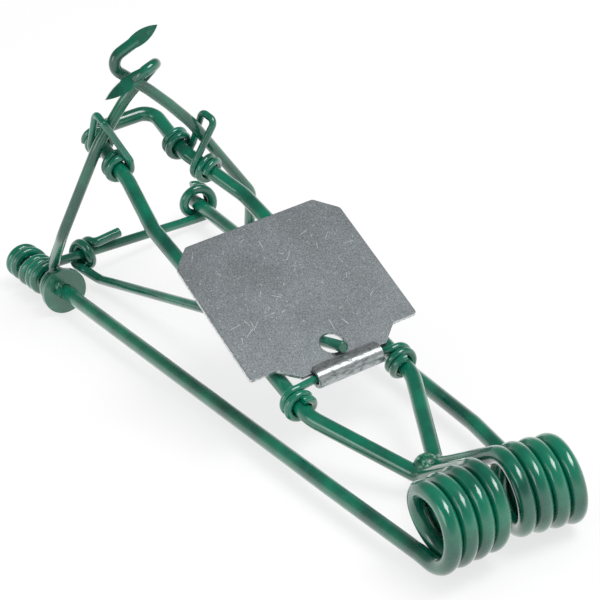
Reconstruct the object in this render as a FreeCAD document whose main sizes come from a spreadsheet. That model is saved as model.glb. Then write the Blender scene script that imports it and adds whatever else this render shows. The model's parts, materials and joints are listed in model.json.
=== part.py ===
import FreeCAD, Part
# Wire spring trap with two crossing jaws and a sheet-metal trigger plate.
#
# Frame: the origin is the middle of the spring's coil axis. +X points to the rear, +Y to the far
# side, +Z up. The jaws are at the front, at negative X. All lengths are millimetres.
import math
import os
import Sketcher

os.makedirs("parts", exist_ok=True)
doc = FreeCAD.newDocument("SpringTrap")
Vec = FreeCAD.Vector
Rot = FreeCAD.Rotation
Place = FreeCAD.Placement

SIZES = (
    # the heavy spring wire
    ("heavy_wire", 2.9),
    ("coil_radius", 6.05),
    ("coil_pitch", 3.0),
    ("coil_gap_half", 2.53),
    ("coil_lead", 3.0),
    ("far_coil_shift", 0.6),
    ("far_coil_ahead", 0.2),
    ("far_coil_drop", 1.0),
    ("far_coil_tilt", 6.7),
    ("far_coil_yaw", 7.3),
    ("leg_slope", 33.0),
    ("arm_bend", 14.0),
    ("arm_settle", 28.0),
    ("arm_length", 141.2),
    ("arm_spread_front", 19.83),
    ("arm_front_low", 6.54),
    # the upper frame's bends
    ("apex_back", 19.87),
    ("apex_half_gap", 1.5),
    ("vee_reach", 19.96),
    ("vee_spread", 8.86),
    ("mid_reach", 54.57),
    ("mid_rise", 15.1),
    ("mid_narrowing", 0.55),
    ("front_reach", 26.6),
    ("front_rise", 10.8),
    ("bow_near_side", 8.0),
    ("bow_far_side", 5.3),
    ("bow_corner", 3.1),
    ("near_hip_share", 0.46),
    ("far_hip_share", 0.54),
    ("bow_cut_share", 0.3),
    ("leg_run", 2.5),
    ("leg_bend", 8.0),
    ("apex_bend", 4.0),
    ("frame_bend", 9.0),
    ("weld_radius", 2.3),
    ("weld_ahead", 0.6),
    ("weld_rise", 1.1),
    # the washers and the jaws' eyes
    ("washer_outer", 9.3),
    ("washer_thick", 1.0),
    ("arm_clearance", 0.12),
    ("washer_back", 124.0),
    ("far_washer_back", 110.4),
    ("ear_height", 0.9),
    ("ear_length", 1.4),
    ("ear_share", 0.55),
    ("ear_lean", 60.0),
    # the crossbar
    ("bar_wire", 2.0),
    ("bar_coil_radius", 2.75),
    ("bar_coil_pitch", 2.1),
    ("bar_near_back", 131.3),
    ("bar_far_back", 137.9),
    ("front_coil_step", 4.6),
    ("bar_run", 2.0),
    ("bar_bend", 8.0),
    ("far_ring_radius", 3.0),
    ("far_ring_rise", 0.45),
    ("far_ring_pitch", 2.3),
    # the jaws
    ("jaw_wire", 2.2),
    ("eye_wall", 2.1),
    ("eye_thick", 1.5),
    ("near_foot_back", 127.0),
    ("far_foot_back", 113.5),
    ("eye_root_share", 0.55),
    ("near_blade_length", 8.6),
    ("near_blade_width", 3.2),
    ("far_blade_length", 6.5),
    ("far_blade_width", 2.3),
    ("blade_thick", 1.3),
    ("blade_belly", 0.42),
    ("blade_neck", 0.8),
    ("blade_root", 0.72),
    # the keepers and the hinge wire
    ("thin_wire", 1.4),
    ("loop_clearance", 0.1),
    ("coil_slack", 0.1),
    ("keeper_tip_half", 1.75),
    ("keeper_foot", 1.6),
    ("keeper_bend", 1.3),
    ("pin_bend", 1.6),
    ("pin_lean", -0.3),
    ("pin_shoulder", 0.9),
    ("pin_run_out", 0.5),
    ("hinge_back", 45.0),
    ("hinge_height", 3.2),
    # the trigger plate
    ("plate_pitch", 28.0),
    ("sheet", 0.8),
    ("sheet_lift", -0.39),
    ("plate_front", 34.15),
    ("plate_half_width", 16.75),
    ("plate_corner", 3.65),
    ("plate_rear", 4.4),
    ("plate_rear_half", 11.9),
    ("plate_lip", 1.2),
    ("plate_lip_half", 8.4),
    ("plate_offset", 0.9),
    ("curl_outer", 3.6),
    ("curl_clearance", 0.3),
    ("curl_near", 5.6),
    ("curl_far", 7.4),
    ("hole_bore", 4.6),
    ("hole_reach", 5.25),
    ("hole_offset", 0.74),
    # the trigger rod
    ("rod_wire", 2.0),
    ("rod_coil_clearance", 0.35),
    ("rod_side", 10.0),
    ("rod_under_share", 0.75),
    ("rod_lead", 1.6),
    ("rod_low_ahead", 5.2),
    ("rod_low_side", 0.2),
    ("rod_low_bend", 4.0),
    ("rod_lead_bend", 2.5),
    ("stub_ahead", 1.4),
    ("stub_rise", 0.8),
    ("stub_back", 0.0),
    ("stub_bend", 1.3),
    ("stub_length", 6.2),
    ("rod_past_hole", 3.6),
)

sheet = doc.addObject("Spreadsheet::Sheet", "Sizes")
for row, (alias, value) in enumerate(SIZES, start=1):
    sheet.set("A%d" % row, alias)
    sheet.set("B%d" % row, str(value))
    sheet.setAlias("B%d" % row, alias)
doc.recompute()


def size(alias):
    return float(getattr(sheet, alias))


def unit(vector):
    return Vec(vector).normalize()


def square(axis, towards):
    """The direction square to the axis that lies nearest to the one given."""
    return unit(towards - axis * towards.dot(axis))


def winding(axis, radial, hint):
    """The direction in which a coil round the axis sets off, square to its radius."""
    heading = unit(axis.cross(radial))
    return heading if heading.dot(hint) > 0 else heading * -1


# ---------------------------------------------------------------- wire paths
def bent(points, radii):
    """Straight runs through the points, joined by tangent arcs of the given radii."""
    points = [Vec(*p) for p in points]
    if not isinstance(radii, (list, tuple)):
        radii = [radii] * (len(points) - 2)
    edges = []
    start = points[0]
    for i, radius in enumerate(radii, start=1):
        into = unit(points[i] - points[i - 1])
        out = unit(points[i + 1] - points[i])
        turn = into.getAngle(out)
        if turn < 1e-4:
            continue
        cut = radius * math.tan(turn / 2)
        first = points[i] - into * cut
        last = points[i] + out * cut
        inward = unit(out - into)
        middle = points[i] + inward * (radius / math.cos(turn / 2) - radius)
        edges.append(Part.LineSegment(start, first).toShape())
        edges.append(Part.Arc(first, middle, last).toShape())
        start = last
    edges.append(Part.LineSegment(start, points[-1]).toShape())
    return edges


def coiled(start, centre, along, heading, pitch, half_turns):
    """Half-turn arcs round the line through centre, from start, setting off along heading."""
    arm = start - centre
    edges = []
    here = start
    sign = 1
    for i in range(half_turns):
        there = centre + along * (pitch * (i + 1) / 2) - arm * sign
        middle = (here + there) * 0.5 + heading * (sign * (there - here).Length / 2)
        edges.append(Part.Arc(here, middle, there).toShape())
        here = there
        sign = -sign
    return edges, here, heading * sign


def arc_to(start, heading, there):
    """The arc that leaves start along heading and ends at there, and its heading at the end."""
    chord = there - start
    toward = unit(chord)
    bulge = chord.Length / 2 * math.tan(heading.getAngle(chord) / 2)
    middle = (start + there) * 0.5 + square(toward, heading) * bulge
    return Part.Arc(start, middle, there).toShape(), toward * (2 * toward.dot(heading)) - heading


def swept(label, edges, wire_alias):
    """A round wire of the named diameter along the edges."""
    path = doc.addObject("Part::Feature", label + "_path")
    path.Shape = Part.Wire(edges)
    first = edges[0]
    section = doc.addObject("Part::Circle", label + "_section")
    section.setExpression("Radius", "Sizes.%s / 2" % wire_alias)
    tangent = first.tangentAt(first.FirstParameter)
    section.Placement = Place(first.valueAt(first.FirstParameter), Rot(Vec(0, 0, 1), tangent))
    sweep = doc.addObject("Part::Sweep", label + "_sweep")
    sweep.Sections = [section]
    sweep.Spine = (path, [])
    sweep.Solid = True
    sweep.Frenet = False
    sweep.Transition = "Right corner"
    return sweep


def fused(label, pieces):
    result = doc.addObject("Part::MultiFuse", label + "_joined")
    result.Shapes = pieces
    return result


PARTS = []


def keep(feature, label):
    feature.Label = label
    PARTS.append(feature)
    return feature


# ---------------------------------------------------------------- spring coils and lower arms
heavy = size("heavy_wire") / 2
coil_radius = size("coil_radius")
coil_pitch = size("coil_pitch")
TURNS_HALF = 7
coil_span = coil_pitch * TURNS_HALF / 2
coil_outer = size("coil_gap_half") + coil_span
UP = Vec(0, 0, 1)
BACK = Vec(1, 0, 0)


def spring_side(side):
    """The coil's path and its two ends; side is -1 for near and 1 for far."""
    start = Vec(0, side * coil_outer, -coil_radius)
    centre = Vec(0, side * coil_outer, 0)
    along = Vec(0, -side, 0)
    edges, end, heading = coiled(start, centre, along, BACK, coil_pitch, TURNS_HALF)
    axis_end = centre + along * coil_span
    slope = math.radians(size("leg_slope"))
    # the last part of the coil turns down to the leg's slope, still stepping along the axis
    onward = along * (coil_pitch * slope / (2 * math.pi))
    leg_foot = axis_end + onward + Vec(-math.sin(slope), 0, math.cos(slope)) * coil_radius
    last, leg = arc_to(end, heading, leg_foot)
    edges.append(last)
    turn = Place()
    if side > 0:
        middle = Vec(0, side * (size("coil_gap_half") + coil_span / 2), 0)
        tilt = Rot(Vec(1, 0, 0), -size("far_coil_tilt"))
        yaw = Rot(Vec(0, 0, 1), -size("far_coil_yaw"))
        turn = Place(middle, Rot()).multiply(Place(Vec(), yaw.multiply(tilt)))
        turn = turn.multiply(Place(Vec(0, 0, 0) - middle, Rot()))
        moved_by = Vec(-size("far_coil_ahead"), -size("far_coil_shift"), -size("far_coil_drop"))
        turn = Place(moved_by, Rot()).multiply(turn)
    moved = [e.copy() for e in edges]
    for edge in moved:
        edge.Placement = turn.multiply(edge.Placement)
    bottom = turn.multVec(start)
    bottom_heading = turn.Rotation.multVec(BACK)
    leg_start = turn.multVec(leg_foot)
    leg_heading = turn.Rotation.multVec(leg)
    return moved, bottom, bottom_heading, leg_start, leg_heading


def arm_point(side, back):
    """A point on a lower arm's centre line at X = -back, forward of the bend at its coil."""
    rear = Vec(0, side * coil_outer, -coil_radius)
    front = Vec(-size("arm_length"), side * size("arm_spread_front"), -size("arm_front_low"))
    return rear + (front - rear) * (back / size("arm_length"))


def arm_heading(side):
    """The rearward direction of a lower arm."""
    return unit(arm_point(side, 0) - arm_point(side, size("arm_length")))


ends = {}
for side, name in ((-1, "near"), (1, "far")):
    edges, bottom, bottom_heading, leg_start, leg_heading = spring_side(side)
    ends[side] = (leg_start, leg_heading)
    keep(swept(name + "_coil", edges, "heavy_wire"), name + "_coil")
    lead = bottom - bottom_heading * size("coil_lead")
    settled = arm_point(side, size("arm_settle"))
    arm_front = arm_point(side, size("arm_length"))
    arm_edges = bent((bottom, lead, settled, arm_front), size("arm_bend"))
    ends[name] = swept(name + "_lower_arm", arm_edges, "heavy_wire")

# ---------------------------------------------------------------- upper frame
def frame_points(side):
    """Bend points of one side of the upper frame, from the apex to the bow's middle."""
    leg_start, leg_heading = ends[side]
    reach = (leg_start.x + size("apex_back")) / -leg_heading.x
    apex = leg_start + leg_heading * reach
    apex = Vec(apex.x, side * size("apex_half_gap"), apex.z)
    knee = Vec(apex.x - size("vee_reach"), side * (size("apex_half_gap") + size("vee_spread")), 0)
    shoulder = Vec(knee.x - size("mid_reach"), knee.y - side * size("mid_narrowing"), size("mid_rise"))
    front_x = shoulder.x - size("front_reach")
    front_z = shoulder.z + size("front_rise")
    width = size("bow_near_side") if side < 0 else size("bow_far_side")
    share = size("near_hip_share") if side < 0 else size("far_hip_share")
    hip = Vec(
        shoulder.x - size("front_reach") * share,
        side * width,
        shoulder.z + size("front_rise") * share,
    )
    corner = Vec(front_x, side * width, front_z)
    middle = Vec(front_x, (size("bow_far_side") - size("bow_near_side")) / 2, front_z)
    return leg_start, apex, knee, shoulder, hip, corner, middle


def on_frame(side, back):
    """A point on the upper frame's centre line at X = -back, and its forward direction."""
    points = frame_points(side)
    for a, b in zip(points[1:], points[2:]):
        if a.x >= -back > b.x:
            share = (a.x + back) / (a.x - b.x)
            return a + (b - a) * share, unit(b - a)


for side, name in ((-1, "near"), (1, "far")):
    leg_start, apex, knee, shoulder, hip, corner, middle = frame_points(side)
    ahead = ends[side][1]
    leg_out = leg_start + ahead * size("leg_run")
    vee_mid = (apex + knee) * 0.5
    bow_cut = hip + (corner - hip) * size("bow_cut_share")
    bend = size("frame_bend")
    leg_run = bent((leg_start, leg_out, apex, vee_mid), (size("leg_bend"), size("apex_bend")))
    leg = swept(name + "_leg", leg_run, "heavy_wire")
    keep(leg, name + "_frame_leg")
    arm_run = bent((vee_mid, knee, shoulder, hip, bow_cut), (bend, bend, bend))
    keep(swept(name + "_upper_arm", arm_run, "heavy_wire"), name + "_upper_arm")
    ends[(side, "bow")] = (bow_cut, corner)

near_cut, near_corner = ends[(-1, "bow")]
far_cut, far_corner = ends[(1, "bow")]
bow_run = bent((near_cut, near_corner, far_corner, far_cut), size("bow_corner"))
keep(swept("front_bow", bow_run, "heavy_wire"), "front_bow")

# the weld's bead, round both wires at the apex
apex = frame_points(-1)[1]
bead = doc.addObject("Part::Sphere", "weld_ball")
bead.setExpression("Radius", "Sizes.weld_radius")
bead.Placement = Place(Vec(apex.x - size("weld_ahead"), 0, apex.z + size("weld_rise")), Rot())
legs = fused("weld_tools", [p for p in PARTS if p.Label.endswith("frame_leg")])
weld = doc.addObject("Part::Cut", "weld_cut")
weld.Base = bead
weld.Tool = legs
keep(weld, "weld_bead")


# ---------------------------------------------------------------- washers, and ears on the arms
# radii that a new circle has before its rule sets it
RING_FIRST_OUTER = 5.0
RING_FIRST_BORE = 2.0


def ring(label, bore, outer, thick, centre, axis):
    """A flat ring; the three sizes are expressions on the sheet."""
    body = doc.addObject("PartDesign::Body", label + "_body")
    sketch = body.newObject("Sketcher::SketchObject", label + "_sketch")
    plane = [f for f in body.Origin.OriginFeatures if f.Role == "XY_Plane"][0]
    sketch.AttachmentSupport = [(plane, "")]
    sketch.MapMode = "FlatFace"
    for expression, first_radius in ((outer, RING_FIRST_OUTER), (bore, RING_FIRST_BORE)):
        circle = sketch.addGeometry(Part.Circle(Vec(0, 0, 0), UP, first_radius), False)
        sketch.addConstraint(Sketcher.Constraint("Coincident", circle, 3, -1, 1))
        index = sketch.addConstraint(Sketcher.Constraint("Radius", circle, first_radius))
        sketch.setExpression("Constraints[%d]" % index, expression)
    pad = body.newObject("PartDesign::Pad", label + "_pad")
    pad.Profile = sketch
    pad.setExpression("Length", thick)
    pad.Midplane = True
    body.Placement = Place(centre, Rot(UP, axis))
    return body


BORE = "Sizes.heavy_wire / 2 + Sizes.arm_clearance"
for side, name, back in ((-1, "near", size("washer_back")), (1, "far", size("far_washer_back"))):
    axis = arm_heading(side)
    centre = arm_point(side, back)
    washer = ring(name + "_washer", BORE, "Sizes.washer_outer / 2", "Sizes.washer_thick", centre, axis)
    keep(washer, name + "_washer")
    # the arm is pinched behind the washer, and the two ears stop it
    ear = doc.addObject("Part::Box", name + "_ears")
    ear.setExpression("Length", "Sizes.ear_length")
    ear.setExpression("Width", "Sizes.heavy_wire * Sizes.ear_share")
    ear.setExpression("Height", "Sizes.heavy_wire + 2 * Sizes.ear_height")
    wide = size("heavy_wire") * size("ear_share")
    high = size("heavy_wire") + 2 * size("ear_height")
    behind = size("washer_thick") / 2 + size("arm_clearance")
    lean = Rot(BACK, axis).multiply(Rot(BACK, -side * size("ear_lean")))
    corner = lean.multVec(Vec(behind, -wide / 2, -high / 2))
    ear.Placement = Place(centre + corner, lean)
    keep(fused(name + "_lower_arm", [ends[name], ear]), name + "_lower_arm")

# ---------------------------------------------------------------- crossbar
bar = size("bar_wire") / 2
bar_coil = size("bar_coil_radius")
near_axis = arm_heading(-1) * -1
far_axis = arm_heading(1) * -1
near_up = square(near_axis, UP)
far_down = square(far_axis, UP * -1)
near_out = winding(near_axis, near_up, Vec(0, -1, 0))
far_out = winding(far_axis, far_down, Vec(0, 1, 0))
near_top = arm_point(-1, size("bar_near_back")) + near_up * bar_coil
# the far ring hangs loosely on the far arm's tip
far_middle = arm_point(1, size("bar_far_back")) - far_down * size("far_ring_rise")
far_under = far_middle + far_down * size("far_ring_radius")
bar_line = unit(far_under - near_top)
pitch = size("bar_coil_pitch")
# two close turns round the near arm, one long turn forward, then close turns at its tip
near_edges, here, heading = coiled(
    near_top, near_top - near_up * bar_coil, near_axis, near_out, pitch, 4)
step_edges, here, heading = coiled(
    here, here - near_up * bar_coil, near_axis, heading, size("front_coil_step"), 2)
tip_edges, here, heading = coiled(here, here - near_up * bar_coil, near_axis, heading, pitch, 3)
near_coil_edges = near_edges + step_edges + tip_edges
keep(swept("crossbar_near_coils", near_coil_edges, "bar_wire"), "crossbar_near_coils")
run = size("bar_run")
bar_points = (near_top, near_top - near_out * run, far_under - far_out * run, far_under)
bar_run = bent(bar_points, size("bar_bend"))
keep(swept("crossbar", bar_run, "bar_wire"), "crossbar")
ring_edges, here, heading = coiled(
    far_under, far_middle, far_axis, far_out, size("far_ring_pitch"), 3)
keep(swept("crossbar_far_ring", ring_edges, "bar_wire"), "crossbar_far_ring")

# ---------------------------------------------------------------- jaws
jaw = size("jaw_wire") / 2
BLADE_FACE = unit(Vec(0.854, -0.357, 0.377))


def blade(label, length_alias, width_alias, tip, heading, flat):
    """A flattened leaf, its point at tip, lying across the flat direction."""
    length = size(length_alias)
    width = size(width_alias)
    thick = size("blade_thick")
    widest = -length * size("blade_belly")
    rise = width / 2
    neck = jaw * size("blade_neck")
    outline = [
        Part.Arc(Vec(-length, -neck, 0), Vec(widest, -rise, 0), Vec(0, 0, 0)).toShape(),
        Part.Arc(Vec(0, 0, 0), Vec(widest, rise, 0), Vec(-length, neck, 0)).toShape(),
        Part.LineSegment(Vec(-length, neck, 0), Vec(-length, -neck, 0)).toShape(),
    ]
    face = Part.Face(Part.Wire(outline))
    leaf = doc.addObject("Part::Feature", label + "_blade")
    leaf.Shape = face.extrude(Vec(0, 0, thick))
    x_axis = unit(heading)
    z_axis = unit(flat - x_axis * flat.dot(x_axis))
    y_axis = z_axis.cross(x_axis)
    leaf.Placement = Place(tip - z_axis * (thick / 2), Rot(x_axis, y_axis, z_axis, "ZXY"))
    return leaf


def jaw_piece(name, side, foot_back, bends, radii, flat, length_alias, width_alias):
    """One jaw: eye round the lower arm, bent shaft, hook and flattened point."""
    foot = arm_point(side, foot_back)
    base = foot + UP * (heavy + size("arm_clearance") + size("eye_wall") * size("eye_root_share"))
    points = [base] + [foot + Vec(*b) for b in bends]
    tip = points[-1]
    heading = unit(points[-1] - points[-2])
    points[-1] = tip - heading * size(length_alias) * size("blade_root")
    shaft = swept(name, bent(points, radii), "jaw_wire")
    bore = "Sizes.heavy_wire / 2 + Sizes.arm_clearance"
    eye = ring(name + "_eye", bore, bore + " + Sizes.eye_wall", "Sizes.eye_thick", foot, arm_heading(side))
    leaf = blade(name, length_alias, width_alias, tip, heading, flat)
    keep(fused(name, [shaft, eye, leaf]), name)


near_bends = (
    (0.5, 0.0, 5.2),
    (11.0, -0.6, 15.9),
    (14.75, 8.8, 33.3),
    (15.5, 15.7, 40.9),
    (19.7, 21.0, 47.3),
    (25.5, 18.6, 49.8),
    (23.9, 8.3, 45.4),
)
near_radii = (3.0, 5.0, 12.0, 10.0, 2.4, 2.4)
jaw_piece("near_jaw", -1, size("near_foot_back"), near_bends, near_radii, BLADE_FACE,
          "near_blade_length", "near_blade_width")
far_bends = (
    (5.5, -0.8, 14.6),
    (7.5, -11.9, 34.1),
    (7.5, -15.8, 39.2),
    (7.5, -19.3, 43.3),
    (7.9, -27.2, 51.1),
    (8.9, -16.0, 55.6),
)
far_radii = (5.0, 20.0, 15.0, 20.0, 2.4)
jaw_piece("far_jaw", 1, size("far_foot_back"), far_bends, far_radii, BLADE_FACE,
          "far_blade_length", "far_blade_width")

# ---------------------------------------------------------------- keepers
thin = size("thin_wire") / 2
wrap = heavy + size("loop_clearance") + thin


def keeper(side, rear_back, rear_winds, front_back, tip):
    """A thin wire loop, wound twice round the upper frame at each end.

    The rear coil winds forward or rearward from the loop as rear_winds is 1 or -1.
    """
    rear, rear_ahead = on_frame(side, rear_back)
    front, front_ahead = on_frame(side, front_back)
    chord = unit(front - rear)
    rise = square(chord, tip - rear)
    outward = Vec(0, side, 0)
    rear_rise = square(rear_ahead, rise)
    front_rise = square(front_ahead, rise)
    rear_side = winding(rear_ahead, rear_rise, outward * -1)
    front_side = winding(front_ahead, front_rise, outward)
    pitch = 2 * thin + size("coil_slack")
    foot = size("keeper_foot")
    bend = size("keeper_bend")
    half = size("keeper_tip_half")
    rear_end = rear + rear_side * wrap
    front_end = front + front_side * wrap
    rear_edges = coiled(rear_end, rear, rear_ahead * rear_winds, rear_rise * -1, pitch, 4)[0]
    front_edges = coiled(front_end, front, front_ahead, front_rise * -1, pitch, 4)[0]
    loop = bent((rear_end, rear_end + rear_rise * foot, tip - chord * half, tip + chord * half,
                 front_end + front_rise * foot, front_end), (bend, bend, bend, bend))
    return rear_edges, loop, front_edges


def reversed_edges(edges):
    """The same arcs and lines, walked from the far end."""
    result = []
    for edge in reversed(edges):
        a = edge.valueAt(edge.LastParameter)
        m = edge.valueAt((edge.FirstParameter + edge.LastParameter) / 2)
        b = edge.valueAt(edge.FirstParameter)
        result.append(Part.Arc(a, m, b).toShape())
    return result


KEEPERS = (
    ("near_keeper", -1, 109.5, 1, 116.62, Vec(-111.9, -9.25, 31.9)),
    ("far_keeper", 1, 104.6, -1, 109.9, Vec(-104.8, 9.8, 28.2)),
)
for name, side, rear_back, rear_winds, front_back, tip in KEEPERS:
    rear_edges, loop, front_edges = keeper(side, rear_back, rear_winds, front_back, tip)
    keep(swept(name, reversed_edges(rear_edges) + loop + front_edges, "thin_wire"), name)

# ---------------------------------------------------------------- hinge wire
hinge = Vec(-size("hinge_back"), 0, size("hinge_height"))
hinge_pitch = 2 * thin + size("coil_slack")


def hinge_end(side, curl_end):
    """Two turns round one arm of the upper frame, and the bends from their start to the pin."""
    on_arm, ahead = on_frame(side, size("hinge_back") + size("pin_lean"))
    up = square(ahead, UP)
    out = winding(ahead, up, Vec(0, side, 0))
    over = on_arm + up * wrap
    turns = coiled(over, on_arm, ahead * -1, out, hinge_pitch, 4)[0]
    shoulder = over - out * size("pin_shoulder")
    corner = Vec(hinge.x, side * (curl_end + size("pin_run_out")), hinge.z)
    return turns, over, shoulder, corner


near_turns, near_over, near_shoulder, near_corner = hinge_end(-1, size("curl_near"))
far_turns, far_over, far_shoulder, far_corner = hinge_end(1, size("curl_far"))
pin_points = (near_over, near_shoulder, near_corner, far_corner, far_shoulder, far_over)
pin_run = bent(pin_points, size("pin_bend"))
pin_edges = reversed_edges(near_turns) + pin_run + far_turns
keep(swept("hinge_wire", pin_edges, "thin_wire"), "hinge_wire")

# ---------------------------------------------------------------- trigger plate
plate_body = doc.addObject("PartDesign::Body", "plate_body")
planes = {f.Role: f for f in plate_body.Origin.OriginFeatures}
outline = plate_body.newObject("Sketcher::SketchObject", "plate_outline")
outline.AttachmentSupport = [(planes["XY_Plane"], "")]
outline.MapMode = "FlatFace"
outline.setExpression("AttachmentOffset.Base.z", "Sizes.sheet_lift")
OFFSET = "Sizes.plate_offset"
corners = (
    ("Sizes.plate_lip", "-Sizes.plate_lip_half - {0}"),
    ("Sizes.plate_rear", "-Sizes.plate_rear_half - {0}"),
    ("Sizes.plate_rear", "-Sizes.plate_half_width - {0}"),
    ("Sizes.plate_front - Sizes.plate_corner", "-Sizes.plate_half_width - {0}"),
    ("Sizes.plate_front", "-Sizes.plate_half_width + Sizes.plate_corner - {0}"),
    ("Sizes.plate_front", "Sizes.plate_half_width - Sizes.plate_corner - {0}"),
    ("Sizes.plate_front - Sizes.plate_corner", "Sizes.plate_half_width - {0}"),
    ("Sizes.plate_rear", "Sizes.plate_half_width - {0}"),
    ("Sizes.plate_rear", "Sizes.plate_rear_half - {0}"),
    ("Sizes.plate_lip", "Sizes.plate_lip_half - {0}"),
)
guess = (
    (1.2, -9.3), (4.4, -12.8), (4.4, -17.65), (30.5, -17.65), (34.15, -14.0),
    (34.15, 12.2), (30.5, 15.85), (4.4, 15.85), (4.4, 11.0), (1.2, 7.5),
)
for i, (x, y) in enumerate(guess):
    x2, y2 = guess[(i + 1) % len(guess)]
    outline.addGeometry(Part.LineSegment(Vec(x, y, 0), Vec(x2, y2, 0)), False)
for i in range(len(guess)):
    outline.addConstraint(Sketcher.Constraint("Coincident", i, 2, (i + 1) % len(guess), 1))
for i, (x_rule, y_rule) in enumerate(corners):
    index = outline.addConstraint(Sketcher.Constraint("DistanceX", -1, 1, i, 1, guess[i][0]))
    outline.setExpression("Constraints[%d]" % index, x_rule)
    index = outline.addConstraint(Sketcher.Constraint("DistanceY", -1, 1, i, 1, guess[i][1]))
    outline.setExpression("Constraints[%d]" % index, y_rule.format(OFFSET))
blank = plate_body.newObject("PartDesign::Pad", "plate_blank")
blank.Profile = outline
blank.setExpression("Length", "Sizes.sheet")


def plate_circle(name, plane, radius_rule, x_rule, y_rule, start):
    """A sketch of one circle; start is its first X, Y and radius, before the rules are set."""
    sketch = plate_body.newObject("Sketcher::SketchObject", name)
    sketch.AttachmentSupport = [(planes[plane], "")]
    sketch.MapMode = "FlatFace"
    circle = sketch.addGeometry(Part.Circle(Vec(start[0], start[1], 0), UP, start[2]), False)
    index = sketch.addConstraint(Sketcher.Constraint("Radius", circle, start[2]))
    sketch.setExpression("Constraints[%d]" % index, radius_rule)
    if x_rule is None:
        sketch.addConstraint(Sketcher.Constraint("Coincident", circle, 3, -1, 1))
        return sketch
    index = sketch.addConstraint(Sketcher.Constraint("DistanceX", -1, 1, circle, 3, start[0]))
    sketch.setExpression("Constraints[%d]" % index, x_rule)
    index = sketch.addConstraint(Sketcher.Constraint("DistanceY", -1, 1, circle, 3, start[1]))
    sketch.setExpression("Constraints[%d]" % index, y_rule)
    return sketch


curl_sketch = plate_circle("curl_sketch", "XZ_Plane", "Sizes.curl_outer / 2", None, None, (0, 0, 1.8))
curl_sketch.setExpression("AttachmentOffset.Base.z", "Sizes.curl_far")
curl = plate_body.newObject("PartDesign::Pad", "plate_curl")
curl.Profile = curl_sketch
curl.setExpression("Length", "Sizes.curl_near + Sizes.curl_far")
curl.Reversed = True
doc.recompute()
bore_rule = "Sizes.thin_wire / 2 + Sizes.curl_clearance"
bore_sketch = plate_circle("curl_bore_sketch", "XZ_Plane", bore_rule, None, None, (0, 0, 1.0))
curl_bore = plate_body.newObject("PartDesign::Pocket", "plate_curl_bore")
curl_bore.Profile = bore_sketch
curl_bore.Type = "ThroughAll"
curl_bore.Midplane = True
hole_sketch = plate_circle("hole_sketch", "XY_Plane", "Sizes.hole_bore / 2",
                           "Sizes.hole_reach", "-Sizes.hole_offset", (5.25, -0.7, 2.3))
plate_hole = plate_body.newObject("PartDesign::Pocket", "plate_hole")
plate_hole.Profile = hole_sketch
plate_hole.Type = "ThroughAll"
plate_hole.Midplane = True
plate_body.Tip = plate_hole
tilt = math.radians(size("plate_pitch"))
forward = Vec(-math.cos(tilt), 0, math.sin(tilt))
normal = Vec(math.sin(tilt), 0, math.cos(tilt))
plate_body.Placement = Place(hinge, Rot(forward, normal.cross(forward), normal, "ZXY"))
keep(plate_body, "trigger_plate")

# ---------------------------------------------------------------- trigger rod
rod = size("rod_wire") / 2
rod_coil = bar + size("rod_coil_clearance") + rod
reach = (-size("rod_side") - near_top.y) / bar_line.y
pivot = near_top + bar_line * reach
ahead_flat = unit(Vec(-1, 0, 0) + bar_line * bar_line.x)
above = unit(bar_line.cross(ahead_flat)) * -1
if above.z < 0:
    above = above * -1
rod_pitch = size("rod_wire") + size("coil_slack")
under = pivot - above * rod_coil - bar_line * (rod_pitch * size("rod_under_share"))
rod_edges, top, heading = coiled(under, under + above * rod_coil, bar_line, ahead_flat, rod_pitch, 3)
stub_corner = top + heading * size("stub_ahead")
stub_rise = above * size("stub_rise") - bar_line * size("stub_back")
stub_end = stub_corner + stub_rise + bar_line * size("stub_length")
stub = bent((top, stub_corner, stub_end), size("stub_bend"))
hole_centre = (hinge + forward * size("hole_reach") + normal * (size("sheet_lift") + size("sheet") / 2)
               + Vec(0, size("hole_offset"), 0))
lead = size("rod_lead")
low_point = pivot + Vec(size("rod_low_ahead"), size("rod_low_side"), -rod_coil - lead)
line = unit(hole_centre - low_point)
rod_tip = hole_centre + line * size("rod_past_hole")
rod_bends = (size("rod_low_bend"), size("rod_lead_bend"))
rod_run = bent((rod_tip, low_point, under - ahead_flat * lead, under), rod_bends)
keep(swept("trigger_rod", rod_run + rod_edges + stub, "rod_wire"), "trigger_rod")

# ---------------------------------------------------------------- check and write
doc.recompute()
for thing in doc.Objects:
    for word in ("Invalid", "Error"):
        if word in thing.State:
            raise RuntimeError("%s is %s" % (thing.Name, thing.State))
for piece in PARTS:
    shape = piece.Shape
    if shape.isNull() or not shape.isValid():
        raise RuntimeError("%s has no valid shape" % piece.Label)
    solids = len(shape.Solids)
    print("%-22s solids %d volume %9.2f" % (piece.Label, solids, shape.Volume))
    shape.exportStep("parts/%s.step" % piece.Label)
print("nodes", len(PARTS))
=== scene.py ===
import json
import math

import bmesh
import bpy
from mathutils import Matrix, Vector, noise


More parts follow.
